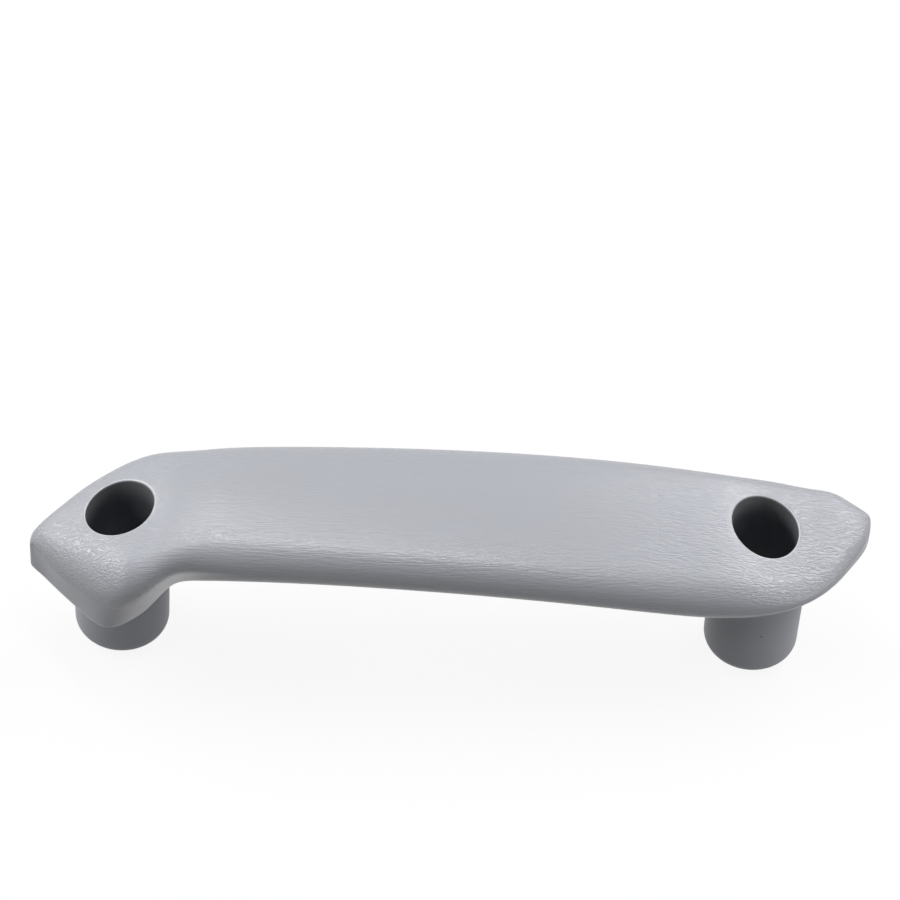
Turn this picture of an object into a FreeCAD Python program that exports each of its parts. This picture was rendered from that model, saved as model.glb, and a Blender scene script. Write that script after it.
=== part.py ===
import FreeCAD, Part
import math
import os

# Interior door pull handle: a bowed, twisted grip bar with a deep diamond-shaped boss at its left end,
# a thin pointed end at its right, and a round mounting post under each. It is one plastic moulding.
# Each post holds a screw: its head goes down a wide well from the handle's face.
# Millimetres. The origin is midway between the two screw holes, on the plane of the post ends. X runs
# along the screws' line, +Y is the edge that is higher at the pointed end, and +Z is away from the door.

# Fixing: screws, wells and posts
SCREW_SPACING = 188.0
SCREW_HOLE_RADIUS = 3.25
WELL_RADIUS = 10.0
WELL_RIM_ROUND = 0.5
LEFT_WELL_FLOOR = 32.0
RIGHT_WELL_FLOOR = 24.0
POST_RADIUS = 14.0
POST_TAPER = 0.010
POST_END_ROUND = 5.3
LEFT_POST_OFFSET = 4.0
POST_SINK = 13.0

# Body: the deep boss stands this far off the door on its post
BOSS_STANDOFF = 28.5
BAR_THICKNESS = 16.0
BAR_EDGE_ROUND = 7.2
FACE_CROWN = 2.4
UNDERSIDE_CROWN = 1.0

# Sections narrower than this on either side are crowned less
CROWNED_FROM = 20.0

# Bow of the grip bar: the face is an arc along the bar, highest a little left of the middle
BOW_RADIUS = 640.0
BOW_TOP = 35.1
BOW_PEAK = 27.0

# Twist: rise of the face and of the underside towards +Y, for each millimetre, at the middle of the
# handle and more towards the right
FACE_TILT = 0.143
FACE_TWIST = 0.00095
UNDERSIDE_TILT = 0.050
UNDERSIDE_TWIST = 0.00085

# The underside is level under the boss and takes the twist between these distances from the left screw
LEVEL_TO = 9.0
TWISTED_FROM = 29.0

# Where the grip bar's own sections start and end, measured inwards from the screws
BAR_START = 32.0
BAR_END = 24.0

# The section's middle leaves the screws' line beyond the right screw, and reaches its own middle here
CENTRED_TO = 4.0
SHIFTED_FROM = 22.0

# Tips: how far they reach beyond the last section, their side of the screws' line, and the heights that
# the rounded tip keeps above the boss's underside
LEFT_TIP_REACH = 2.3
LEFT_TIP_SIDE = -3.5
LEFT_TIP_TOP = 14.5
LEFT_TIP_FOOT = 7.0
RIGHT_TIP_REACH = 5.6
RIGHT_TIP_SIDE = 9.3
RIGHT_TIP_TOP = 13.7
RIGHT_TIP_FOOT = 12.0
TIP_HALF_WIDTH = 0.4

# Share of a side or a wall that a round may take
SHOULDER_LIMIT = 0.9
FOOT_LIMIT = 0.8
WALL_LIMIT = 0.48

# Control points of half a section: across the face, round the shoulder, down the wall, round the foot
# and in along the underside
FACE_POINTS = 4
SHOULDER_POINTS = 7
WALL_POINTS = 2
FOOT_POINTS = 6
UNDERSIDE_POINTS = 3


class Section:
    """One section across the body. Front and back are the sides at the shoulder, foot_front and
    foot_back the sides at the underside, and face and foot are heights above the boss's underside.
    Front_round and back_round are the shoulders' radii, and foot_round is the radius under them."""

    def __init__(self, x, front, back, foot_front, foot_back, face, foot, front_round, back_round,
                 foot_round):
        self.x = x
        self.front = front
        self.back = back
        self.foot_front = foot_front
        self.foot_back = foot_back
        self.face = face
        self.foot = foot
        self.front_round = front_round
        self.back_round = back_round
        self.foot_round = foot_round

    def towards(self, other, share):
        """The section at a share of the way to another, or beyond it."""
        names = vars(self)
        return Section(*(names[n] + (getattr(other, n) - names[n]) * share for n in names))


def boss_sections(screw_x):
    """The deep boss, from its sharp left edge to the hollow where it runs into the bar. Its front
    shoulder is fuller than its back one."""
    rows = [
        Section(-23.8, -5.9, 2.0, -6.4, 2.8, 18.1, 4.9, 4.0, 3.0, 1.0),
        Section(-22.0, -8.4, 4.3, -7.5, 4.6, 19.5, 3.8, 6.0, 4.5, 1.0),
        Section(-17.5, -14.6, 9.6, -11.7, 9.2, 21.2, 1.9, 9.5, 7.0, 1.5),
        Section(-11.0, -20.4, 15.7, -17.8, 16.1, 23.6, 0.4, 12.0, 8.0, 1.5),
        Section(-4.0, -25.0, 19.4, -24.8, 19.9, 26.1, -0.5, 12.5, 8.0, 1.5),
        Section(2.5, -30.5, 22.7, -21.5, 20.7, 28.0, -0.1, 12.0, 8.0, 1.5),
        Section(9.0, -28.2, 24.7, -15.8, 19.1, 29.4, -0.2, 10.5, 8.0, 2.0),
        Section(15.0, -24.9, 23.4, -6.7, 17.7, 31.4, 1.8, 8.5, 7.5, 3.0),
        Section(22.0, -22.5, 22.6, -16.4, 17.0, 32.7, 10.4, 7.4, 7.2, 6.0),
    ]
    for row in rows:
        row.x += screw_x
    return rows


def bow(x):
    """Height of the face on the bar's centre line above the boss's underside."""
    return BOW_TOP - (x + BOW_PEAK) ** 2 / (2 * BOW_RADIUS)


def bar_sections(left_x, right_x):
    """The grip bar, between its run-out from the boss and the start of the pointed end. The sides
    draw apart a little towards the front."""
    first, last = left_x + BAR_START, right_x - BAR_END
    sides = [
        (0.0, -22.0, 22.2),
        (0.17, -22.8, 21.8),
        (0.47, -24.3, 21.5),
        (0.77, -25.0, 21.3),
        (1.0, -25.1, 20.6),
    ]
    rows = []
    for share, front, back in sides:
        x = first + (last - first) * share
        foot = bow(x) - BAR_THICKNESS - FACE_CROWN - UNDERSIDE_CROWN
        rows.append(Section(x, front, back, front, back, bow(x), foot,
                            BAR_EDGE_ROUND, BAR_EDGE_ROUND, BAR_EDGE_ROUND))
    return rows


def point_sections(screw_x):
    """The thin pointed end, which sweeps back from the front edge to a tip behind the screws' line."""
    rows = [
        Section(-8.0, -24.4, 19.3, -24.2, 19.2, 25.8, 7.2, 7.0, 7.0, 6.6),
        Section(4.0, -22.8, 20.0, -22.4, 19.8, 22.5, 8.8, 6.5, 6.5, 6.0),
        Section(14.0, -18.4, 18.5, -18.0, 18.1, 20.4, 9.8, 6.0, 6.0, 5.0),
        Section(21.5, -12.0, 17.9, -11.6, 17.7, 19.7, 9.8, 5.0, 5.0, 3.8),
        Section(26.8, -4.6, 14.2, -4.2, 15.0, 18.3, 9.4, 4.5, 5.5, 3.2),
    ]
    for row in rows:
        row.x += screw_x
    return rows


def tip_sections(before, end, reach, side, top, foot):
    """A rounded tip. The sides and heights run on from the last two sections towards their own corner
    and turn along a parabola to a small upright tip, whose last two sections share one place."""
    run = reach / abs(end.x - before.x)
    corner = before.towards(end, 1 + run)
    low, high = side - TIP_HALF_WIDTH, side + TIP_HALF_WIDTH
    tip = Section(corner.x, low, high, low, high, top, foot, TIP_HALF_WIDTH, TIP_HALF_WIDTH, TIP_HALF_WIDTH)
    for name in ("front_round", "back_round", "foot_round"):
        setattr(corner, name, getattr(end, name) / 2)
    rows = [end.towards(corner, 2 / 3), tip.towards(corner, 2 / 3), tip]
    for row in rows:
        row.front = min(row.front, low)
        row.foot_front = min(row.foot_front, low)
        row.back = max(row.back, high)
        row.foot_back = max(row.foot_back, high)
    return rows


def ease(x, low, high):
    """A smooth step from 0 at low to 1 at high."""
    t = min(1.0, max(0.0, (x - low) / (high - low)))
    return t * t * (3 - 2 * t)


def rounded(start, corner, end, count):
    """Points of the circular arc that rounds a corner, from start to end, as a conic."""
    a = [s - c for s, c in zip(start, corner)]
    b = [e - c for e, c in zip(end, corner)]
    cosine = (a[0] * b[0] + a[1] * b[1]) / (math.hypot(*a) * math.hypot(*b))
    weight = math.sqrt((1 - cosine) / 2)
    points = []
    for k in range(count):
        t = k / (count - 1)
        p, q, r = (1 - t) ** 2, 2 * weight * t * (1 - t), t * t
        points.append([(p * s + q * c + r * e) / (p + q + r) for s, c, e in zip(start, corner, end)])
    return points


def between(start, end, share):
    """The point at a share of the way from start to end."""
    return [s + (e - s) * share for s, e in zip(start, end)]


def half_section(row, side, foot_side, shoulder, left_x, right_x):
    """One side of a section as (y, z) points, from the middle of the face down to the middle of the
    underside: crowned face, round shoulder, straight wall, round foot and underside."""
    shift = (abs(row.x) - right_x - CENTRED_TO) / (SHIFTED_FROM - CENTRED_TO)
    middle = (row.front + row.back) / 2 * min(1.0, max(0.0, shift))
    sign = 1 if side > middle else -1
    width = abs(side - middle)
    least = min(abs(row.front - middle), abs(row.back - middle))
    least_foot = min(abs(row.foot_front - middle), abs(row.foot_back - middle))
    slimness = min(1.0, least / CROWNED_FROM)
    crown = FACE_CROWN * slimness
    twisted = ease(row.x - left_x, LEVEL_TO, TWISTED_FROM)
    tilt = FACE_TILT + FACE_TWIST * row.x
    foot_tilt = (UNDERSIDE_TILT + UNDERSIDE_TWIST * row.x) * twisted

    def face(y):
        return BOSS_STANDOFF + row.face + tilt * y - crown * ((y - middle) / width) ** 2

    shoulder = min(shoulder, SHOULDER_LIMIT * width)
    foot_round = min(row.foot_round, FOOT_LIMIT * least_foot)
    edge_y = side - sign * shoulder
    edge = [edge_y, face(edge_y)]
    slope = tilt - 2 * crown * (edge_y - middle) / width ** 2
    corner = [side, edge[1] + slope * (side - edge_y)]
    lift = UNDERSIDE_CROWN * twisted * slimness
    foot = [foot_side, BOSS_STANDOFF + row.foot + foot_tilt * foot_side + lift]
    centre = [middle, BOSS_STANDOFF + row.foot + foot_tilt * middle]
    wall = math.hypot(foot[0] - corner[0], foot[1] - corner[1])
    underside = math.hypot(centre[0] - foot[0], centre[1] - foot[1])
    shoulder_end = between(corner, foot, min(shoulder, WALL_LIMIT * wall) / wall)
    foot_start = between(foot, corner, min(foot_round, WALL_LIMIT * wall) / wall)
    foot_end = between(foot, centre, min(foot_round, FOOT_LIMIT * underside) / underside)

    across = [middle + (edge_y - middle) * k / FACE_POINTS for k in range(FACE_POINTS)]
    points = [[y, face(y)] for y in across]
    points += rounded(edge, corner, shoulder_end, SHOULDER_POINTS)
    points += [between(shoulder_end, foot_start, (k + 1) / (WALL_POINTS + 1)) for k in range(WALL_POINTS)]
    points += rounded(foot_start, foot, foot_end, FOOT_POINTS)
    points += [between(foot_end, centre, (k + 1) / UNDERSIDE_POINTS) for k in range(UNDERSIDE_POINTS)]
    return points


def section_ring(row, left_x, right_x):
    """The closed ring of points of one section: down the front, back under and up behind."""
    front = half_section(row, row.front, row.foot_front, row.front_round, left_x, right_x)
    back = half_section(row, row.back, row.foot_back, row.back_round, left_x, right_x)
    return [FreeCAD.Vector(row.x, y, z) for y, z in front + back[-2:0:-1]]


def skin(rings):
    """The smooth skin that takes the rings as its control net: a cubic surface, closed around the
    section and ending on the first and the last ring."""
    along, around = len(rings), len(rings[0])
    surface = Part.BSplineSurface()
    surface.buildFromPolesMultsKnots(
        rings,
        [4] + [1] * (along - 4) + [4], [1] * (around + 1),
        list(range(along - 2)), list(range(around + 1)),
        False, True, 3, 3)
    return surface


def closed_solid(surface):
    """The skin and its two small flat ends, as a solid."""
    first, last = surface.bounds()[:2]
    ends = [Part.Face(Part.Wire(surface.uIso(u).toShape())) for u in (first, last)]
    shell = Part.makeShell([surface.toShape()] + ends)
    shell.sewShape()
    solid = Part.makeSolid(shell)
    if solid.Volume < 0:
        solid.reverse()
    return solid


def body(left_x, right_x):
    """Grip bar, boss and pointed end as one smooth body along the handle."""
    boss = boss_sections(left_x)
    bar = bar_sections(left_x, right_x)
    point = point_sections(right_x)
    left_tip = tip_sections(boss[1], boss[0], LEFT_TIP_REACH, LEFT_TIP_SIDE, LEFT_TIP_TOP, LEFT_TIP_FOOT)
    right_tip = tip_sections(point[-2], point[-1], RIGHT_TIP_REACH, RIGHT_TIP_SIDE, RIGHT_TIP_TOP,
                             RIGHT_TIP_FOOT)
    rows = left_tip[::-1] + boss + bar + point + right_tip
    return closed_solid(skin([section_ring(row, left_x, right_x) for row in rows]))


def post(x, y, top):
    """A mounting post: a round stem that widens a little upwards, with a rounded end."""
    flat = POST_RADIUS - POST_END_ROUND
    turn = FreeCAD.Vector(flat, 0, POST_END_ROUND)
    diagonal = POST_END_ROUND * math.sqrt(0.5)
    side = FreeCAD.Vector(POST_RADIUS, 0, POST_END_ROUND)
    upper = FreeCAD.Vector(POST_RADIUS + POST_TAPER * (top - POST_END_ROUND), 0, top)
    bend = Part.Arc(FreeCAD.Vector(flat, 0, 0), turn + FreeCAD.Vector(diagonal, 0, -diagonal), side)
    foot = FreeCAD.Vector(0, 0, 0)
    crown = FreeCAD.Vector(0, 0, top)
    profile = Part.Wire([
        Part.makeLine(foot, FreeCAD.Vector(flat, 0, 0)),
        bend.toShape(),
        Part.makeLine(side, upper),
        Part.makeLine(upper, crown),
        Part.makeLine(crown, foot),
    ])
    stem = Part.Face(profile).revolve(foot, FreeCAD.Vector(0, 0, 1), 360)
    stem.translate(FreeCAD.Vector(x, y, 0))
    return stem


def cut_well(solid, x, floor):
    """Cuts a screw's well down to its floor, rounds its mouth, and cuts the screw hole on through
    the post."""
    up = FreeCAD.Vector(0, 0, 1)
    reach = BOSS_STANDOFF + 2 * BAR_THICKNESS + POST_SINK - floor
    well = Part.makeCylinder(WELL_RADIUS, reach, FreeCAD.Vector(x, 0, floor), up)
    hole = Part.makeCylinder(SCREW_HOLE_RADIUS, floor + 2, FreeCAD.Vector(x, 0, -1), up)
    solid = solid.cut(well).cut(hole)
    rim = [edge for edge in solid.Edges
           if edge.BoundBox.ZMin > floor + 1 and abs(edge.BoundBox.Center.x - x) < 1
           and abs(edge.BoundBox.XLength - 2 * WELL_RADIUS) < 0.1]
    return solid.makeFillet(WELL_RIM_ROUND, rim)


def handle_moulding():
    left_x, right_x = -SCREW_SPACING / 2, SCREW_SPACING / 2
    solid = body(left_x, right_x)
    solid = solid.fuse(post(left_x, LEFT_POST_OFFSET, BOSS_STANDOFF + POST_SINK))
    solid = solid.fuse(post(right_x, 0, BOSS_STANDOFF + POST_SINK))
    solid = cut_well(solid, left_x, LEFT_WELL_FLOOR)
    return cut_well(solid, right_x, RIGHT_WELL_FLOOR)


os.makedirs("parts", exist_ok=True)
handle = handle_moulding()
print("handle_moulding", handle.ShapeType, len(handle.Solids), "solids", len(handle.Faces), "faces",
      round(handle.Volume), "mm3", handle.isValid(), handle.BoundBox)
handle.Solids[0].exportStep("parts/handle_moulding.step")
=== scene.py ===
import math
import bmesh
import bpy
import numpy as np
from mathutils import Matrix, Vector


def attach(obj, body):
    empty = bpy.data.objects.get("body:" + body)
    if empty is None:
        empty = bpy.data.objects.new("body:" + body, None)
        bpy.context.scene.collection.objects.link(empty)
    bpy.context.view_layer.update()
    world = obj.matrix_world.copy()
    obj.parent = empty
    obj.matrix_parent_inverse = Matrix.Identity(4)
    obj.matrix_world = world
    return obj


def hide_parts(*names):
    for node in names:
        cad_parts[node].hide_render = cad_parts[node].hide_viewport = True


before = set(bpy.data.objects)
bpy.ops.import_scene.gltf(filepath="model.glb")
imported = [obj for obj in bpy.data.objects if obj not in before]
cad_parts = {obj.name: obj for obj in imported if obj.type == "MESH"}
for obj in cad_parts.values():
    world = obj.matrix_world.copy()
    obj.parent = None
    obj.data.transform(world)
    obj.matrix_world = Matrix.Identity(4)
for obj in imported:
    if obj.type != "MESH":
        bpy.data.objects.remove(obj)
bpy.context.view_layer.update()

# Grip bar, boss and pointed end
# The real piece is one injection moulding in grey plastic: a bowed, twisted bar that runs into a deep
# diamond-shaped boss at its left end and thins to a point at its right. Sizes are in millimetres.
MM = 0.001
TINY = 1e-9
SCREW_SPACING = 188.0
LEFT_X = -SCREW_SPACING / 2
RIGHT_X = SCREW_SPACING / 2
BOSS_STANDOFF = 28.5
BAR_THICKNESS = 16.0
BAR_EDGE_ROUND = 7.2
FACE_CROWN = 2.4
UNDERSIDE_CROWN = 1.0
BOW_RADIUS = 640.0
BOW_TOP = 35.1
BOW_PEAK = 27.0
FACE_TILT = 0.143
FACE_TWIST = 0.00095
UNDERSIDE_TILT = 0.050
UNDERSIDE_TWIST = 0.00085
LEVEL_TO = 9.0
TWISTED_FROM = 29.0
CROWNED_FROM = 20.0
BAR_START = 32.0
BAR_END = 24.0
CENTRED_TO = 4.0
SHIFTED_FROM = 22.0
TIP_HALF_WIDTH = 0.4

# Shares of a side or a wall that a round may take, and control points across the face and round the
# shoulder and the foot
SHOULDER_LIMIT = 0.9
FOOT_LIMIT = 0.8
WALL_LIMIT = 0.48
FACE_POINTS = 4
SHOULDER_POINTS = 7
FOOT_POINTS = 6

# Columns of a section: x from the nearer screw, front and back at the shoulder, front and back at the
# foot, heights of the face and of the foot above the boss's underside, radii of the front shoulder, of
# the back one and of the foot
BOSS_SECTIONS = np.array([
    [-23.8, -5.9, 2.0, -6.4, 2.8, 18.1, 4.9, 4.0, 3.0, 1.0],
    [-22.0, -8.4, 4.3, -7.5, 4.6, 19.5, 3.8, 6.0, 4.5, 1.0],
    [-17.5, -14.6, 9.6, -11.7, 9.2, 21.2, 1.9, 9.5, 7.0, 1.5],
    [-11.0, -20.4, 15.7, -17.8, 16.1, 23.6, 0.4, 12.0, 8.0, 1.5],
    [-4.0, -25.0, 19.4, -24.8, 19.9, 26.1, -0.5, 12.5, 8.0, 1.5],
    [2.5, -30.5, 22.7, -21.5, 20.7, 28.0, -0.1, 12.0, 8.0, 1.5],
    [9.0, -28.2, 24.7, -15.8, 19.1, 29.4, -0.2, 10.5, 8.0, 2.0],
    [15.0, -24.9, 23.4, -6.7, 17.7, 31.4, 1.8, 8.5, 7.5, 3.0],
    [22.0, -22.5, 22.6, -16.4, 17.0, 32.7, 10.4, 7.4, 7.2, 6.0],
])
POINT_SECTIONS = np.array([
    [-8.0, -24.4, 19.3, -24.2, 19.2, 25.8, 7.2, 7.0, 7.0, 6.6],
    [4.0, -22.8, 20.0, -22.4, 19.8, 22.5, 8.8, 6.5, 6.5, 6.0],
    [14.0, -18.4, 18.5, -18.0, 18.1, 20.4, 9.8, 6.0, 6.0, 5.0],
    [21.5, -12.0, 17.9, -11.6, 17.7, 19.7, 9.8, 5.0, 5.0, 3.8],
    [26.8, -4.6, 14.2, -4.2, 15.0, 18.3, 9.4, 4.5, 5.5, 3.2],
])
# Grip bar: share of its length, front and back
BAR_SHARES = np.array([[0.0, -22.0, 22.2], [0.17, -22.8, 21.8], [0.47, -24.3, 21.5],
                       [0.77, -25.0, 21.3], [1.0, -25.1, 20.6]])
# Tips: reach beyond the last section, side of the screws' line, heights of their top and foot
LEFT_TIP = (2.3, -3.5, 14.5, 7.0)
RIGHT_TIP = (5.6, 9.3, 13.7, 12.0)


def ease(x, low, high):
    """Smooth step: 3t^2 - 2t^3 of the clipped share t of the way from low to high."""
    t = np.clip((x - low) / (high - low), 0, 1)
    return t * t * (3 - 2 * t)


def bar_sections():
    """Rows of the grip bar: sides from the shares, face on a circular arc, and the foot a bar's thickness
    and both crowns under it."""
    first = LEFT_X + BAR_START
    last = RIGHT_X - BAR_END
    share, front, back = BAR_SHARES.T
    x = first + (last - first) * share
    face = BOW_TOP - (x + BOW_PEAK) ** 2 / (2 * BOW_RADIUS)
    foot = face - BAR_THICKNESS - FACE_CROWN - UNDERSIDE_CROWN
    edge = np.full_like(x, BAR_EDGE_ROUND)
    return np.stack([x, front, back, front, back, face, foot, edge, edge, edge], axis=1)


def tip_sections(before, end, reach, side, top, foot):
    """Rows that close an end: sides and heights run on from the last two sections to their own corner
    and turn along a parabola to a small upright tip, as thirds between section, corner and tip."""
    corner = end + (end - before) * reach / abs(end[0] - before[0])
    corner[7:] = end[7:] / 2
    low = side - TIP_HALF_WIDTH
    high = side + TIP_HALF_WIDTH
    tip = np.array([corner[0], low, high, low, high, top, foot] + [TIP_HALF_WIDTH] * 3)
    rows = np.stack([end + (corner - end) * 2 / 3, tip + (corner - tip) * 2 / 3, tip])
    rows[:, [1, 3]] = np.minimum(rows[:, [1, 3]], low)
    rows[:, [2, 4]] = np.maximum(rows[:, [2, 4]], high)
    return rows


def corner_arc(start, corner, end, count):
    """Points on the circular arc that rounds a corner, as a conic: the blend of start, corner and end by
    (1-t)^2, 2w t(1-t) and t^2 over their sum, where w is the sine of half the corner's angle."""
    a = start - corner
    b = end - corner
    cosine = (a * b).sum(-1) / (np.linalg.norm(a, axis=-1) * np.linalg.norm(b, axis=-1) + TINY)
    weight = np.sqrt(np.clip((1 - cosine) / 2, 0, 1))[:, None, None]
    t = np.linspace(0, 1, count)[None, :, None]
    p, q, r = (1 - t) ** 2, 2 * weight * t * (1 - t), t * t
    return (p * start[:, None] + q * corner[:, None] + r * end[:, None]) / (p + q + r)


def straight(start, end, shares):
    """Points between two ends of each row, at the given shares of the way."""
    return start[:, None] + (end - start)[:, None] * np.asarray(shares)[None, :, None]


def half_sections(rows, side, foot_side, shoulder, middle):
    """One side of every section as (y, z) points: a crowned face z = face + tilt y - crown s^2, a round
    shoulder, a straight wall, a round foot and the underside, whose tilt starts beyond the boss."""
    x, front, back, foot_front, foot_back, face, foot, _, _, foot_round = rows.T
    least = np.minimum(abs(front - middle), abs(back - middle))
    least_foot = np.minimum(abs(foot_front - middle), abs(foot_back - middle))
    slimness = np.minimum(1, least / CROWNED_FROM)
    twisted = ease(x, LEFT_X + LEVEL_TO, LEFT_X + TWISTED_FROM)
    tilt = FACE_TILT + FACE_TWIST * x
    foot_tilt = (UNDERSIDE_TILT + UNDERSIDE_TWIST * x) * twisted
    crown = FACE_CROWN * slimness
    width = abs(side - middle)
    sign = np.sign(side - middle)
    shoulder = np.minimum(shoulder, SHOULDER_LIMIT * width)
    foot_round = np.minimum(foot_round, FOOT_LIMIT * least_foot)

    def face_point(y):
        return np.stack([y, BOSS_STANDOFF + face + tilt * y - crown * ((y - middle) / width) ** 2], axis=1)

    edge_y = side - sign * shoulder
    edge = face_point(edge_y)
    slope = tilt - 2 * crown * (edge_y - middle) / width ** 2
    corner = np.stack([side, edge[:, 1] + slope * (side - edge_y)], axis=1)
    lift = UNDERSIDE_CROWN * twisted * slimness
    foot_corner = np.stack([foot_side, BOSS_STANDOFF + foot + foot_tilt * foot_side + lift], axis=1)
    centre = np.stack([middle, BOSS_STANDOFF + foot + foot_tilt * middle], axis=1)
    wall = np.linalg.norm(foot_corner - corner, axis=1)
    underside = np.linalg.norm(centre - foot_corner, axis=1)
    wall_share = np.minimum(shoulder, WALL_LIMIT * wall) / wall
    foot_share = np.minimum(foot_round, WALL_LIMIT * wall) / wall
    under_share = np.minimum(foot_round, FOOT_LIMIT * underside) / underside
    shoulder_end = corner + (foot_corner - corner) * wall_share[:, None]
    foot_start = foot_corner + (corner - foot_corner) * foot_share[:, None]
    foot_end = foot_corner + (centre - foot_corner) * under_share[:, None]
    faces = [face_point(middle + (edge_y - middle) * k / FACE_POINTS) for k in range(FACE_POINTS)]
    return np.concatenate([
        np.stack(faces, axis=1),
        corner_arc(edge, corner, shoulder_end, SHOULDER_POINTS),
        straight(shoulder_end, foot_start, [1 / 3, 2 / 3]),
        corner_arc(foot_start, foot_corner, foot_end, FOOT_POINTS),
        straight(foot_end, centre, [1 / 3, 2 / 3, 1]),
    ], axis=1)


def control_net():
    """The rings of control points, one for each section: down the front, back under and up behind."""
    boss = BOSS_SECTIONS.copy()
    boss[:, 0] += LEFT_X
    point = POINT_SECTIONS.copy()
    point[:, 0] += RIGHT_X
    left_tip = tip_sections(boss[1], boss[0], *LEFT_TIP)
    right_tip = tip_sections(point[-2], point[-1], *RIGHT_TIP)
    rows = np.concatenate([left_tip[::-1], boss, bar_sections(), point, right_tip])
    shift = (abs(rows[:, 0]) - RIGHT_X - CENTRED_TO) / (SHIFTED_FROM - CENTRED_TO)
    middle = (rows[:, 1] + rows[:, 2]) / 2 * np.clip(shift, 0, 1)
    front = half_sections(rows, rows[:, 1], rows[:, 3], rows[:, 7], middle)
    back = half_sections(rows, rows[:, 2], rows[:, 4], rows[:, 8], middle)
    ring = np.concatenate([front, back[:, -2:0:-1]], axis=1)
    x = np.broadcast_to(rows[:, 0][:, None, None], ring.shape[:2] + (1,))
    return np.concatenate([x, ring], axis=2)


DEGREE = 3


def along_weights(u, count):
    """Weights of the control rings at parameters u from 0 to count - 3: the cubic B-spline basis by its
    recursion, with the end knots repeated so that the skin ends on the first and the last ring."""
    last = count - DEGREE
    knots = np.concatenate([[0] * DEGREE, np.arange(last + 1), [last] * DEGREE]).astype(float)
    u = np.clip(u, 0, last - TINY)[:, None]
    weights = ((knots[:-1] <= u) & (u < knots[1:])).astype(float)
    for degree in range(1, DEGREE + 1):
        width = knots[degree:] - knots[:-degree]
        share = np.where(width > 0, (u - knots[:-degree]) / np.where(width > 0, width, 1), 0)
        falling = np.where(width > 0, 1 - share, 0)
        weights = share[:, :-1] * weights[:, :-1] + falling[:, 1:] * weights[:, 1:]
    return weights


def around_weights(v, count):
    """Weights of the points of a ring at parameters v, one unit to a point: the four cubic B-spline
    blends of the fraction of v, laid round the closed ring."""
    place = np.floor(v)
    t = v - place
    blends = np.stack([(1 - t) ** 3, 3 * t ** 3 - 6 * t ** 2 + 4,
                       1 + 3 * t + 3 * t ** 2 - 3 * t ** 3, t ** 3], axis=1) / 6
    weights = np.zeros((len(v), count))
    rows = np.arange(len(v))
    for k in range(DEGREE + 1):
        np.add.at(weights, (rows, (place.astype(int) + k - 1) % count), blends[:, k])
    return weights


def skin_points(u, v):
    """Points of the skin at pairs (u, v): control points weighted along and around."""
    return np.einsum("pi,pj,ijk->pk", along_weights(u, RINGS), around_weights(v, RING_POINTS), net,
                     optimize=True)


def skin_grid(u, v):
    """Points of the skin at every u with every v: the same weighting, as a grid."""
    return np.einsum("ui,vj,ijk->uvk", along_weights(u, RINGS), around_weights(v, RING_POINTS), net,
                     optimize=True)


def even_steps(grid, axis, values, count):
    """Parameters along one axis of a fine grid that share out its greatest running length evenly."""
    lengths = np.linalg.norm(np.diff(grid, axis=axis), axis=2).max(axis=1 - axis)
    run = np.concatenate([[0], np.cumsum(lengths)])
    return np.interp(np.linspace(0, run[-1], count + 1), run, values)


def ring_cells(rings):
    """Numbers at the four corners of every cell between closed rings, one ring to a row."""
    beside = np.roll(rings, -1, axis=1)
    return np.stack([rings[:-1], beside[:-1], beside[1:], rings[1:]], axis=-1)


class Moulding:
    """Points, faces and finish marks of the whole moulding, added surface by surface. Marks are how
    strong the grain is, how far down a well in millimetres, a painted highlight line along edges, and a
    post's wall."""

    def __init__(self):
        self.points = []
        self.marks = {"grain": [], "depth": [], "edge": [], "post": []}
        self.faces = []
        self.count = 0

    def add(self, points, **marks):
        """Adds a grid of points with their marks, 0 unless given, and returns their numbers."""
        shape = points.shape[:-1]
        size = int(np.prod(shape))
        self.points.append(points.reshape(-1, 3))
        for name, values in self.marks.items():
            values.append(np.broadcast_to(marks.get(name, 0.0), shape).reshape(-1))
        numbers = np.arange(self.count, self.count + size).reshape(shape)
        self.count += size
        return numbers

    def places(self, numbers):
        """Points with the given numbers."""
        return np.concatenate(self.points)[numbers]

    def band(self, rings):
        """Four-sided faces between closed rings of numbered points."""
        self.faces += ring_cells(rings).reshape(-1, 4).tolist()

    def flat_end(self, ring):
        """Closes a flat ring in strips from its front half across to its back half."""
        half = len(ring) // 2
        front = ring[:half + 1]
        back = np.roll(ring[::-1], 1)[:half + 1]
        strips = np.stack([front[1:-2], front[2:-1], back[2:-1], back[1:-2]], axis=-1)
        self.faces += strips.tolist()
        self.faces += [[front[0], front[1], back[1]], [back[-2], front[-2], front[-1]]]


# Cells of the skin along the handle and round it, and the finer steps that their places are worked out
# from. In the direction that isn't being worked out, every tenth of the finer steps is enough.
ALONG_STEPS = 340
AROUND_STEPS = 176
FINE_STEPS = 1500
SPARSE = 10
moulding = Moulding()
net = control_net()
RINGS, RING_POINTS = net.shape[:2]
fine_u = np.linspace(0, RINGS - DEGREE, FINE_STEPS)
fine_v = np.linspace(0, RING_POINTS, FINE_STEPS)
u_steps = even_steps(skin_grid(fine_u, fine_v[::SPARSE]), 0, fine_u, ALONG_STEPS)
v_steps = even_steps(skin_grid(fine_u[::SPARSE], fine_v), 1, fine_v, AROUND_STEPS)[:-1]
skin = skin_grid(u_steps, v_steps)
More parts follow.
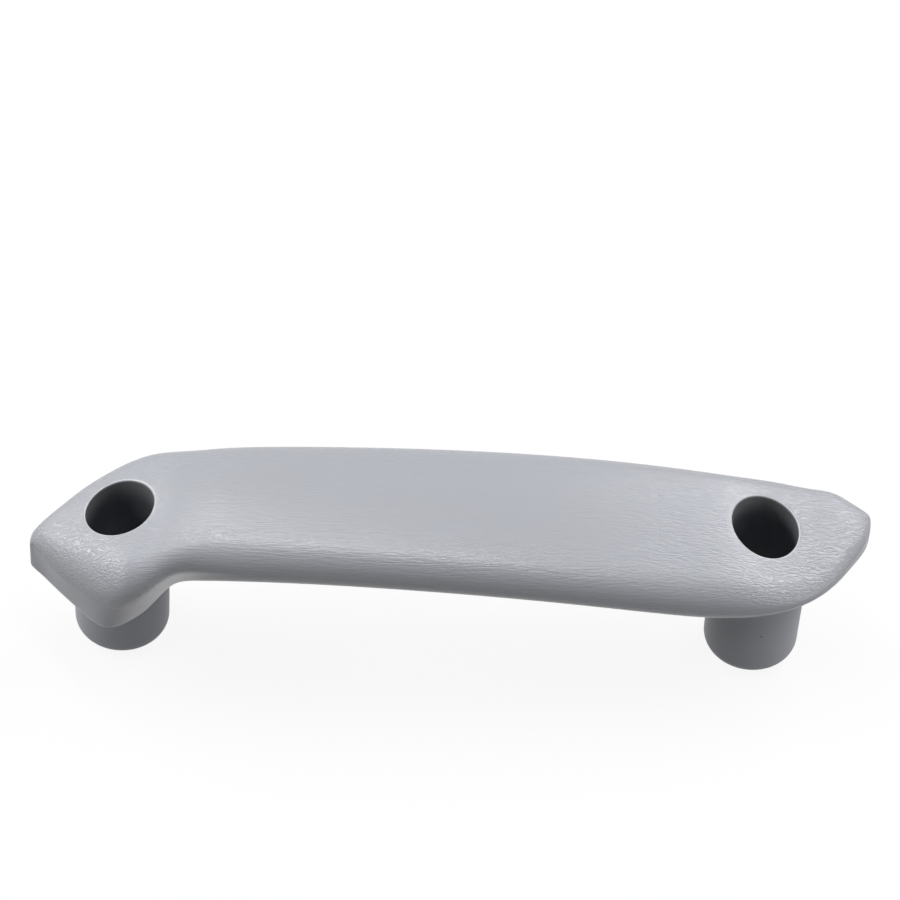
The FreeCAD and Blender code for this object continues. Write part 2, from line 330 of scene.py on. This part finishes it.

# The grain is stronger at both ends than along the bar. It loses a share of its strength on the smooth
# rounds of both ends, on the walls, underneath and where the grip's face is worn. A fine mould line runs
# along the lower edge over each post, and a painted highlight is laid along it. A pair is where a change
# starts and ends: along the handle in millimetres, or round it in control points from the middle of the
# face.
BOSS_GAIN = 1.0
POINT_GAIN = 1.1
SMOOTH_LOSS = 0.85
WALL_LOSS = 0.4
UNDERSIDE_LOSS = 0.3
GRIP_LOSS = 0.5
TO_BOSS = (-LEFT_X - 6, -LEFT_X + 6)
TO_POINT = (RIGHT_X - 14, RIGHT_X + 8)
BOSS_ROUND = (8.5, 11)
POINT_ROUND = (7, 9.5)
TO_WALL = (8.5, 12)
TO_UNDERSIDE = (15, 19)
GRIP_MIDDLE = -12
GRIP_REACH = (60, 85)
GRIP_FACE = (2, 4)
LINE_REACH = (14, 22)
LINE_PLACE = 15.5
LINE_WIDTH = 0.8

from_face = np.minimum(v_steps, RING_POINTS - v_steps)
skin_x = skin[:, :1, 0]
at_boss = ease(-skin_x, *TO_BOSS)
at_point = ease(skin_x, *TO_POINT)
strength = 1 + BOSS_GAIN * at_boss + POINT_GAIN * at_point
smooth_rounds = at_boss * ease(from_face, *BOSS_ROUND) + at_point * ease(from_face, *POINT_ROUND)
below_face = WALL_LOSS * ease(from_face, *TO_WALL) + UNDERSIDE_LOSS * ease(from_face, *TO_UNDERSIDE)
gripped = (1 - ease(abs(skin_x - GRIP_MIDDLE), *GRIP_REACH)) * (1 - ease(from_face, *GRIP_FACE))
skin_grain = strength * (1 - SMOOTH_LOSS * smooth_rounds) * (1 - below_face) * (1 - GRIP_LOSS * gripped)
near_posts = sum(1 - ease(abs(skin_x - x), *LINE_REACH) for x in (LEFT_X, RIGHT_X))
# Painted highlight along the mould line over each post
skin_edge_highlight = near_posts * np.exp(-((from_face - LINE_PLACE) / LINE_WIDTH) ** 2)
skin_numbers = moulding.add(skin, grain=skin_grain, edge=skin_edge_highlight)
kept_cells = np.ones((ALONG_STEPS, AROUND_STEPS), bool)
moulding.flat_end(skin_numbers[0][::-1])
moulding.flat_end(skin_numbers[-1])

# Screw wells and posts
# Each post takes a screw from the handle's face: a round well with a lightly rounded mouth goes down to
# a shelf, and a narrow hole goes on through the post's end. All of it is moulded in one with the bar.
SCREW_HOLE_RADIUS = 3.25
WELL_RADIUS = 10.0
WELL_RIM_ROUND = 0.5
LEFT_WELL_FLOOR = 32.0
RIGHT_WELL_FLOOR = 24.0
POST_RADIUS = 14.0
POST_TAPER = 0.010
POST_END_ROUND = 5.3
LEFT_POST_OFFSET = 4.0

# Steps of the tables that are read backwards, and control points by which they keep off the sides
TABLE_STEPS = 900
CIRCLE_STEPS = 90
FACE_MARGIN = 2
UNDERSIDE_MARGIN = 1

# Grid cells between a circle and its window's edge, and rings of points on each surface
MOUTH_CELLS = 4
ROOT_CELLS = 3
PATCH_RINGS = 6
RIM_RINGS = 5
WELL_RINGS = 27
SHELF_RINGS = 7
HOLE_RINGS = 11
END_RINGS = 5
END_ROUND_RINGS = 12
STEM_RINGS = 23

# Faces that meet at more than this angle, in degrees, show a sharp edge
SHARP_ANGLE = 30


def steps(start, end, count):
    """Even steps from a start, which is left out, to an end, as a column."""
    return np.linspace(start, end, count + 1)[1:, None]


def inverse(table, wanted):
    """Where each row of a rising table passes its wanted value, as a fraction of the row's length."""
    after = np.clip((table < wanted[:, None]).sum(axis=1), 1, table.shape[1] - 1)
    rows = np.arange(len(table))
    low = table[rows, after - 1]
    high = table[rows, after]
    return (after - 1 + (wanted - low) / (high - low)) / (table.shape[1] - 1)


def skin_parameters(x, y, below):
    """Parameters (u, v) of the skin's point over or under (x, y): x rises with u alone, and along that
    ring y runs between the sides, across the face or, below, across the underside."""
    u = np.interp(x, along_weights(fine_u, RINGS) @ net[:, 0, 0], fine_u)
    side = RING_POINTS / 4
    if below:
        v = np.linspace(side + UNDERSIDE_MARGIN, 3 * side - UNDERSIDE_MARGIN, TABLE_STEPS)
        sense = 1
    else:
        v = np.linspace(FACE_MARGIN - side, side - FACE_MARGIN, TABLE_STEPS)
        sense = -1
    table = along_weights(u, RINGS) @ net[:, :, 1] @ around_weights(v, RING_POINTS).T
    share = inverse(sense * table, sense * y)
    return u, v[0] + (v[-1] - v[0]) * share


def circle(x, y, radius, angle):
    """Points of a circle round (x, y), as x and y, at the given angles."""
    return x + radius * np.cos(angle), y + radius * np.sin(angle)


def window(x, y, radius, below, spare):
    """Index ranges of the grid window that a circle on the skin leaves open, with cells to spare."""
    angle = np.linspace(0, 2 * np.pi, CIRCLE_STEPS)
    u, v = skin_parameters(*circle(x, y, radius, angle), below)
    i0 = np.searchsorted(u_steps, u.min()) - spare
    i1 = np.searchsorted(u_steps, u.max()) + spare - 1
    long_v = np.concatenate([v_steps - RING_POINTS, v_steps, v_steps + RING_POINTS])
    j0 = np.searchsorted(long_v, v.min()) - spare - AROUND_STEPS
    j1 = np.searchsorted(long_v, v.max()) + spare - 1 - AROUND_STEPS
    return i0, i1, j0, j1


def matched_windows(first, second):
    """Both windows with as many edge points: the smaller one grown along the handle."""
    counts = [i1 - i0 + j1 - j0 for i0, i1, j0, j1 in (first, second)]
    spare = abs(counts[0] - counts[1])

    def grown(i0, i1, j0, j1):
        return i0 - spare // 2, i1 + spare - spare // 2, j0, j1

    return (grown(*first), second) if counts[0] < counts[1] else (first, grown(*second))


def window_edge(i0, i1, j0, j1):
    """Grid indices once round a window's edge."""
    i = np.arange(i0, i1)
    j = np.arange(j0, j1)
    return (np.concatenate([i, np.full(len(j), i1), i[::-1] + 1, np.full(len(j), i0)]),
            np.concatenate([np.full(len(i), j0), j, np.full(len(i), j1), j[::-1] + 1]))


def patch(x, y, radius, below, opening):
    """Opens a window in the skin and fills it up to a circle: rings between the window's edge and the
    circle, blended in the skin's own parameters, so that every point lies on the skin. Returns the
    rings' numbers, outermost first, and the angles round the circle, counter-clockwise."""
    i0, i1, j0, j1 = opening
    kept_cells[np.arange(i0, i1)[:, None], np.arange(j0, j1) % AROUND_STEPS] = False
    i, j = window_edge(*opening)

    def angles():
        edge = skin[i, j % AROUND_STEPS]
        return np.unwrap(np.arctan2(edge[:, 1] - y, edge[:, 0] - x))

    angle = angles()
    if angle[-1] < angle[0]:
        i, j, angle = i[::-1], j[::-1], angle[::-1]
    start = np.argmin(abs((angle + np.pi) % (2 * np.pi) - np.pi))
    i, j = np.roll(i, -start), np.roll(j, -start)
    angle = angles()
    u_edge = u_steps[i]
    v_edge = v_steps[j % AROUND_STEPS] + RING_POINTS * (j // AROUND_STEPS)
    u, v = skin_parameters(*circle(x, y, radius, angle), below)
    share = steps(0, 1, PATCH_RINGS)
    all_u = (u_edge + (u - u_edge) * share).ravel()
    all_v = (v_edge + (v - v_edge) * share).ravel()
    points = skin_points(all_u, all_v).reshape(PATCH_RINGS, len(i), 3)
    inner = moulding.add(points, grain=skin_grain[i, j % AROUND_STEPS])
    return np.concatenate([skin_numbers[i, j % AROUND_STEPS][None], inner]), angle


def screw_post(x, post_y, well_floor):
    """Mouth, well, shelf, screw hole, post end and post wall of one screw place, as rings that run from
    the window in the face to the window in the underside."""
    mouth_radius = WELL_RADIUS + WELL_RIM_ROUND
    root_radius = POST_RADIUS + POST_TAPER * (BOSS_STANDOFF - POST_END_ROUND)
    mouth, root = matched_windows(window(x, 0, mouth_radius, False, MOUTH_CELLS),
                                  window(x, post_y, root_radius, True, ROOT_CELLS))
    top_rings, top_angle = patch(x, 0, mouth_radius, False, mouth)
    root_rings, root_angle = patch(x, post_y, root_radius, True, root)
    root_height = moulding.places(root_rings[-1])[:, 2]
    turned = root_angle - 2 * np.pi * round((root_angle[0] - top_angle[0]) / (2 * np.pi))

    def rings(angle, radius, y, z):
        """Rings round the axis at y, one to a row of the angles, radii or heights."""
        px, py = circle(x, y, radius, angle)
        return np.stack(np.broadcast_arrays(px, py, z), axis=-1)

    # The mouth's round: a parabola from the face over the sharp corner to the wall, with a painted
    # highlight that fades from the face towards the wall
    u, v = skin_parameters(*circle(x, 0, WELL_RADIUS, top_angle), False)
    lip = skin_points(u, v)
    outer = moulding.places(top_rings[-1])
    lower = lip - [0, 0, WELL_RIM_ROUND]
    t = steps(0, 1, RIM_RINGS)[:, None]
    rim = moulding.add((1 - t) ** 2 * outer + 2 * t * (1 - t) * lip + t * t * lower, edge=1 - t[..., 0])

    # The wall's rings turn, on the way down, from the face's window to the underside's
    down = steps(0, 1, WELL_RINGS)
    heights = lower[:, 2] + (well_floor - lower[:, 2]) * down
    wall = moulding.add(rings(top_angle + (turned - top_angle) * down, WELL_RADIUS, 0, heights),
                        depth=lower[:, 2] - heights)
    deep = (lower[:, 2] - well_floor).mean()
    inwards = steps(WELL_RADIUS, SCREW_HOLE_RADIUS, SHELF_RINGS)
    shelf = moulding.add(rings(turned, inwards, 0, well_floor), depth=deep)
    levels = steps(well_floor, 0, HOLE_RINGS)
    hole = moulding.add(rings(turned, SCREW_HOLE_RADIUS, 0, levels), depth=deep)

    # The post: its flat end, the quarter round at its foot and the tapered wall up to the underside
    flat = POST_RADIUS - POST_END_ROUND
    inner = rings(turned, SCREW_HOLE_RADIUS, 0, 0.0)
    outwards = steps(0, 1, END_RINGS)[:, None]
    end = moulding.add(inner + (rings(turned, flat, post_y, 0.0) - inner) * outwards, post=1.0)
    bend = steps(0, np.pi / 2, END_ROUND_RINGS)
    foot = moulding.add(rings(turned, flat + POST_END_ROUND * np.sin(bend), post_y,
                              POST_END_ROUND * (1 - np.cos(bend))), post=1.0)
    up = steps(0, 1, STEM_RINGS + 1)[:-1]
    widths = POST_RADIUS + (root_radius - POST_RADIUS) * up
    rise = POST_END_ROUND + (root_height - POST_END_ROUND) * up
    stem = moulding.add(rings(turned, widths, post_y, rise), post=1.0)
    moulding.band(np.concatenate([top_rings, rim, wall, shelf, hole, end, foot, stem, root_rings[::-1]]))


screw_post(LEFT_X, LEFT_POST_OFFSET, LEFT_WELL_FLOOR)
screw_post(RIGHT_X, 0.0, RIGHT_WELL_FLOOR)
moulding.faces += ring_cells(skin_numbers)[kept_cells].tolist()

# The moulding as one closed mesh, with its marks, and without the skin's points in the open windows
mesh = bpy.data.meshes.new("handle_moulding_skin")
mesh.from_pydata((np.concatenate(moulding.points) * MM).tolist(), [], moulding.faces)
for name, values in moulding.marks.items():
    attribute = mesh.attributes.new(name, "FLOAT", "POINT")
    attribute.data.foreach_set("value", np.concatenate(values).astype(np.float32))
work = bmesh.new()
work.from_mesh(mesh)
bmesh.ops.delete(work, geom=[v for v in work.verts if not v.link_faces], context="VERTS")
work.to_mesh(mesh)
work.free()
mesh.shade_smooth()
mesh.set_sharp_from_angle(angle=math.radians(SHARP_ANGLE))
handle = bpy.data.objects.new("handle_skin", mesh)
bpy.context.scene.collection.objects.link(handle)
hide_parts("handle_moulding")
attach(handle, "root")

# Satin plastic
# The grey plastic comes from a grained mould: fine leather wrinkles drawn out along the handle, with small
# ridges and pores between them. The posts are plain, with faint ejection scratches and the gate's dot.
PLASTIC = (0.384, 0.396, 0.438, 1)
PLASTIC_CLOUD = (0.378, 0.388, 0.422, 1)
# Painted shade that darkens the grain's low furrows
PAINTED_FURROW_SHADE = (0.27, 0.28, 0.31, 1)
# Painted highlight: the pale line along the mould line and round the wells' mouths
PAINTED_EDGE_HIGHLIGHT = (0.72, 0.725, 0.74, 1)
WELL_MOUTH = (0.20, 0.202, 0.21, 1)
WELL_DEPTH = (0.085, 0.090, 0.105, 1)
SPECULAR = 0.8

# Cells of each noise to a metre along x, y and z
WRINKLES = (220, 1900, 1900)
RIDGES = (600, 3600, 3600)
PORES = (2600, 4200, 4200)
CLOUDS = (14, 30, 30)
STREAKS = (2600, 2600, 240)
STREAKED = (120, 120, 90)

# Values of a noise between which furrows, clouds, streaks and streaked places rise from none to full
FURROW_RISE = (0.30, 0.65)
CLOUD_RISE = (0.35, 0.65)
STREAK_RISE = (0.60, 0.72)
STREAKED_RISE = (0.5, 0.62)

# Height of the grain and the gate's place and radii in metres, and depths down a well in millimetres
GRAIN_HEIGHT = 0.00005
GATE_PLACE = (0.0949, -0.0142, 0.0187)
GATE_RADII = (0.0002, 0.00055)
MOUTH_DEPTH = 0.6
DARK_DEPTH = 9.0

# Heights and depths as times the grain's height, and how far a colour is mixed in: the painted shade of
# the grain's furrows and the gate's dark dot
RIDGE_HEIGHT = 0.6
PORE_HEIGHT = 0.15
SCRATCH_DEPTH = 0.5
GATE_DEPTH = 2.5
PAINTED_FURROW_SHADE_SHARE = 0.07
GATE_TONE = 0.8

# Roughness, what the grain takes from it, and what scratches and the posts add to it
ROUGHNESS = 0.33
GRAIN_GLOSS = 0.07
SCRATCH_ROUGHNESS = 0.1
POST_ROUGHNESS = 0.2


class Value:
    """A number that varies over a surface. Arithmetic on it adds the Math node that works it out."""

    def __init__(self, nodes, socket):
        self.nodes = nodes
        self.socket = socket

    def math(self, operation, *inputs):
        """The result of a Math node with the given inputs."""
        return self.nodes.node("ShaderNodeMath", {"operation": operation}, inputs)

    def __add__(self, other):
        return self.math("ADD", self, other)

    def __radd__(self, other):
        return self.math("ADD", other, self)

    def __sub__(self, other):
        return self.math("SUBTRACT", self, other)

    def __rsub__(self, other):
        return self.math("SUBTRACT", other, self)

    def __mul__(self, other):
        return self.math("MULTIPLY", self, other)

    def __rmul__(self, other):
        return self.math("MULTIPLY", other, self)

    def larger(self, other):
        """The larger of two numbers."""
        return self.math("MAXIMUM", self, other)

    def step(self, low, high):
        """A smooth step from 0 at low to 1 at high."""
        return self.nodes.node("ShaderNodeMapRange", {"interpolation_type": "SMOOTHSTEP"},
                               {"Value": self, "From Min": low, "From Max": high})


class Nodes:
    """The node tree of a material or of the world, emptied."""

    def __init__(self, owner):
        owner.use_nodes = True
        self.tree = owner.node_tree
        self.tree.nodes.clear()

    def node(self, kind, settings, sockets, output=0):
        """Adds a node, sets its settings, then its sockets by number or name, and returns one output."""
        made = self.tree.nodes.new(kind)
        for name, value in settings.items():
            setattr(made, name, value)
        pairs = sockets.items() if isinstance(sockets, dict) else enumerate(sockets)
        for name, value in pairs:
            if isinstance(value, Value):
                self.tree.links.new(value.socket, made.inputs[name])
            else:
                made.inputs[name].default_value = value
        return Value(self, made.outputs[output]) if made.outputs else None

    def mark(self, name):
        """One of the moulding's marks."""
        return self.node("ShaderNodeAttribute", {"attribute_name": name}, {}, "Fac")

    def noise(self, place, scale, detail, roughness=0.5, distortion=0.0):
        """Noise on a place that is first scaled by axis, so that it is drawn out along the least one."""
        scaled = self.node("ShaderNodeMapping", {}, {"Vector": place, "Scale": scale}, "Vector")
        return self.node("ShaderNodeTexNoise", {}, {
            "Vector": scaled, "Scale": 1.0, "Detail": detail, "Roughness": roughness,
            "Distortion": distortion})

    def mix(self, factor, first, second):
        """A colour between two colours."""
        return self.node("ShaderNodeMix", {"data_type": "RGBA"}, {0: factor, 6: first, 7: second}, 2)


def plastic_finish():
    """The satin plastic: grain, with painted shade in its furrows, where the moulding's grain mark is,
    scratches and the gate's dot on its posts, wells that darken with their depth, and a painted highlight
    line at their mouths and over the posts."""
    material = bpy.data.materials.new("grey_plastic")
    nodes = Nodes(material)
    place = nodes.node("ShaderNodeTexCoord", {}, {}, "Object")
    grain, depth, edge, post = (nodes.mark(name) for name in ("grain", "depth", "edge", "post"))
    wrinkle = nodes.noise(place, WRINKLES, detail=3.0, roughness=0.55, distortion=0.35)
    ridges = nodes.noise(place, RIDGES, detail=2.0, roughness=0.5, distortion=0.2)
    pores = nodes.noise(place, PORES, detail=1.0)
    cloud = nodes.noise(place, CLOUDS, detail=2.0)
    streaks = nodes.noise(place, STREAKS, detail=1.0).step(*STREAK_RISE)
    scratch = streaks * nodes.noise(place, STREAKED, detail=1.0).step(*STREAKED_RISE)
    to_gate = nodes.node("ShaderNodeVectorMath", {"operation": "DISTANCE"}, {0: place, 1: GATE_PLACE},
                         "Value")
    gate = 1 - to_gate.step(*GATE_RADII)
    furrow = wrinkle.step(*FURROW_RISE)
    grain_height = (furrow + ridges * RIDGE_HEIGHT + pores * PORE_HEIGHT) * grain
    height = grain_height - (scratch * SCRATCH_DEPTH + gate * GATE_DEPTH) * post
    bump = nodes.node("ShaderNodeBump", {}, {"Strength": 1.0, "Distance": GRAIN_HEIGHT, "Height": height},
                      "Normal")
    tone = nodes.mix(cloud.step(*CLOUD_RISE), PLASTIC, PLASTIC_CLOUD)
    # Painted shade: the grain's furrows are darkened in the colour, more where the grain is stronger
    tone = nodes.mix((1 - furrow) * grain * PAINTED_FURROW_SHADE_SHARE, tone, PAINTED_FURROW_SHADE)
    # Painted highlight: a pale line along the mould line over the posts and round the wells' mouths
    tone = nodes.mix(edge, tone, PAINTED_EDGE_HIGHLIGHT)
    tone = nodes.mix(gate * post * GATE_TONE, tone, WELL_DEPTH)
    tone = nodes.mix(depth.step(0.0, MOUTH_DEPTH), tone, WELL_MOUTH)
    tone = nodes.mix(depth.step(MOUTH_DEPTH, DARK_DEPTH), tone, WELL_DEPTH)
    rough = ROUGHNESS - grain * GRAIN_GLOSS + (scratch * SCRATCH_ROUGHNESS + POST_ROUGHNESS) * post
    shader = nodes.node("ShaderNodeBsdfPrincipled", {}, {
        "Base Color": tone, "Roughness": rough, "Specular IOR Level": SPECULAR, "Normal": bump}, "BSDF")
    nodes.node("ShaderNodeOutputMaterial", {}, {"Surface": shader})
    return material


mesh.materials.append(plastic_finish())

# Studio
# A pale seamless floor that the handle stands on, a long soft box above it, a strip to each side that
# picks out the grain, a small low box beside each post, and a weak even fill. Sizes are in metres.
FLOOR_REACH = 6.0
WHITE = (1, 1, 1, 1)
PAPER_BOUNCE = (0.06, 0.06, 0.06, 1)
PAPER_GLOW = 0.9
FILL = (0.025, 0.025, 0.026, 1)

# Place, width, height and power of each soft box
SOFT_BOXES = {
    "soft_box_above": ((-0.06, -0.04, 1.10), 1.30, 0.14, 5.2),
    "soft_box_left": ((-0.77, 0.18, 0.65), 1.10, 0.15, 6.0),
    "soft_box_right": ((0.61, 0.27, 0.79), 0.90, 0.18, 5.5),
    "soft_box_low_left": ((-0.32, -0.17, 0.07), 0.20, 0.12, 0.085),
    "soft_box_low_right": ((0.32, -0.15, 0.06), 0.20, 0.12, 0.16),
}


def seen_directly(nodes):
    """1 for what the camera, a gloss or glass sees, and 0 for the light that the surface gives back."""
    camera, glossy, through = (nodes.node("ShaderNodeLightPath", {}, {}, name) for name in (
        "Is Camera Ray", "Is Glossy Ray", "Is Transmission Ray"))
    return camera.larger(glossy).larger(through)


floor_corners = [(-FLOOR_REACH, -FLOOR_REACH, 0), (FLOOR_REACH, -FLOOR_REACH, 0),
                 (FLOOR_REACH, FLOOR_REACH, 0), (-FLOOR_REACH, FLOOR_REACH, 0)]
floor_mesh = bpy.data.meshes.new("studio_floor")
floor_mesh.from_pydata(floor_corners, [], [(0, 1, 2, 3)])
floor = bpy.data.objects.new("studio_floor", floor_mesh)
bpy.context.scene.collection.objects.link(floor)
paper = bpy.data.materials.new("studio_paper")
paper_nodes = Nodes(paper)
seen = seen_directly(paper_nodes)
paper_colour = paper_nodes.mix(seen, PAPER_BOUNCE, WHITE)
lit = paper_nodes.node("ShaderNodeBsdfDiffuse", {}, {"Color": paper_colour})
glow = paper_nodes.node("ShaderNodeEmission", {}, {"Color": WHITE, "Strength": 1.0})
surface = paper_nodes.node("ShaderNodeMixShader", {}, {0: seen * PAPER_GLOW, 1: lit, 2: glow})
paper_nodes.node("ShaderNodeOutputMaterial", {}, {"Surface": surface})
floor_mesh.materials.append(paper)

world = bpy.data.worlds.new("studio")
bpy.context.scene.world = world
world_nodes = Nodes(world)
sky_colour = world_nodes.mix(seen_directly(world_nodes), FILL, WHITE)
sky = world_nodes.node("ShaderNodeBackground", {}, {"Color": sky_colour, "Strength": 1.0})
world_nodes.node("ShaderNodeOutputWorld", {}, {"Surface": sky})


def soft_box(name, place, width, height, power):
    """A rectangular lamp at a place, turned towards the handle's middle."""
    lamp = bpy.data.lights.new(name, "AREA")
    lamp.shape = "RECTANGLE"
    lamp.size = width
    lamp.size_y = height
    lamp.energy = power
    box = bpy.data.objects.new(name, lamp)
    towards = -Vector(place)
    box.matrix_world = Matrix.Translation(place) @ towards.to_track_quat("-Z", "Y").to_matrix().to_4x4()
    box.visible_camera = False
    bpy.context.scene.collection.objects.link(box)


for name, settings in SOFT_BOXES.items():
    soft_box(name, *settings)

# Camera at the photograph's viewing angle: its place in millimetres, and the directions to its right, up
# and back
CAMERA_PLACE = np.array([-52.192, -829.383, 964.630])
CAMERA_RIGHT = (0.99891, -0.01743, 0.04325)
CAMERA_UP = (-0.0169, 0.72917, 0.68412)
CAMERA_BACK = (-0.04347, -0.68411, 0.72809)
CAMERA_LENS = 169.71
SENSOR_WIDTH = 36.0
NEAREST = 0.05
camera = bpy.data.cameras.new("camera")
camera.lens = CAMERA_LENS
camera.sensor_width = SENSOR_WIDTH
camera.clip_start = NEAREST
camera_object = bpy.data.objects.new("camera", camera)
turn = Matrix([CAMERA_RIGHT, CAMERA_UP, CAMERA_BACK]).transposed().to_4x4()
camera_object.matrix_world = Matrix.Translation(CAMERA_PLACE * MM) @ turn
bpy.context.scene.collection.objects.link(camera_object)
bpy.context.scene.camera = camera_object
bpy.context.scene.view_settings.view_transform = "Standard"
